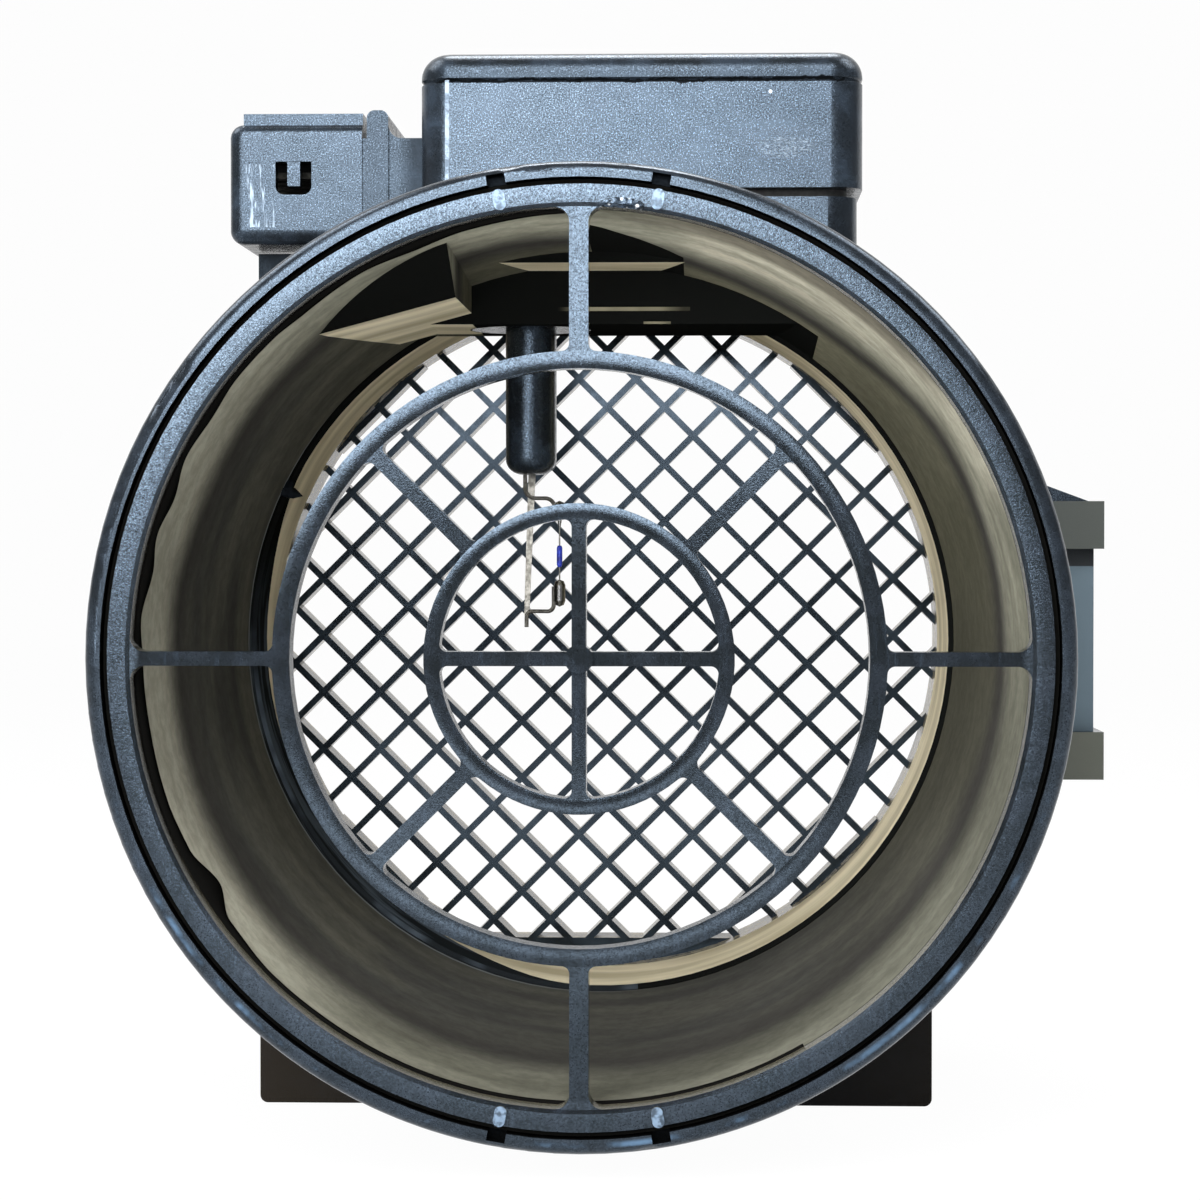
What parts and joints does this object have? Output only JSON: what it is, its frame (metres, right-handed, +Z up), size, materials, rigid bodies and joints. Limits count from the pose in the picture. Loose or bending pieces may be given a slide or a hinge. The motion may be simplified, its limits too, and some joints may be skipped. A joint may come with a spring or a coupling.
{
  "type": "mass airflow sensor",
  "caption": "Duct-mounted engine air mass sensor: moulded tube with guard, diamond screen, probe, electronics case and plug socket.",
  "frame": {"origin": "centre of the duct's hose-end face, on the duct axis", "axes": "+Y along the duct axis from the hose end to the air filter end; +Z up to the electronics case; +X to the right when looking into the hose end"},
  "size_m": [0.1083, 0.086, 0.1067],
  "materials": {
    "housing_plastic": "satin",
    "guard_plastic": "satin",
    "screen_plastic": "satin",
    "case_plastic": "satin",
    "seal_rubber": "matte",
    "plate_aluminium": "satin",
    "board_ceramic": "matte",
    "chip_resin": "matte",
    "capacitor_body": "satin",
    "prong_steel": "satin",
    "weld_metal": "polished",
    "element_glass": "gloss",
    "terminal_metal": "satin",
    "ribbon_metal": "satin",
    "screw_steel": "satin"
  },
  "bodies": {
    "root": {"duct_housing": "housing_plastic", "outlet_guard": "guard_plastic", "inlet_screen": "screen_plastic", "airbox_seal": "seal_rubber", "sensor_body": "case_plastic", "module_lid": "case_plastic", "module_gasket": "seal_rubber", "carrier_plate": "plate_aluminium", "circuit_board": "board_ceramic", "signal_chip": "chip_resin", "power_transistor": "chip_resin", "capacitor_1": "capacitor_body", "capacitor_2": "capacitor_body", "capacitor_3": "capacitor_body", "short_prong": "prong_steel", "long_prong": "prong_steel", "upper_weld": "weld_metal", "upper_lead": "prong_steel", "sensing_element": "element_glass", "lower_lead": "prong_steel", "lower_weld": "weld_metal", "tail_wire": "prong_steel", "air_temperature_bead": "element_glass", "prong_lead_1": "ribbon_metal", "prong_lead_2": "ribbon_metal", "module_screw_1": "screw_steel", "module_screw_2": "screw_steel", "terminal_1": "terminal_metal", "terminal_lead_1": "ribbon_metal", "terminal_2": "terminal_metal", "terminal_lead_2": "ribbon_metal", "terminal_3": "terminal_metal", "terminal_lead_3": "ribbon_metal", "terminal_4": "terminal_metal", "terminal_lead_4": "ribbon_metal", "terminal_5": "terminal_metal", "terminal_lead_5": "ribbon_metal"}
  },
  "joints": []
}
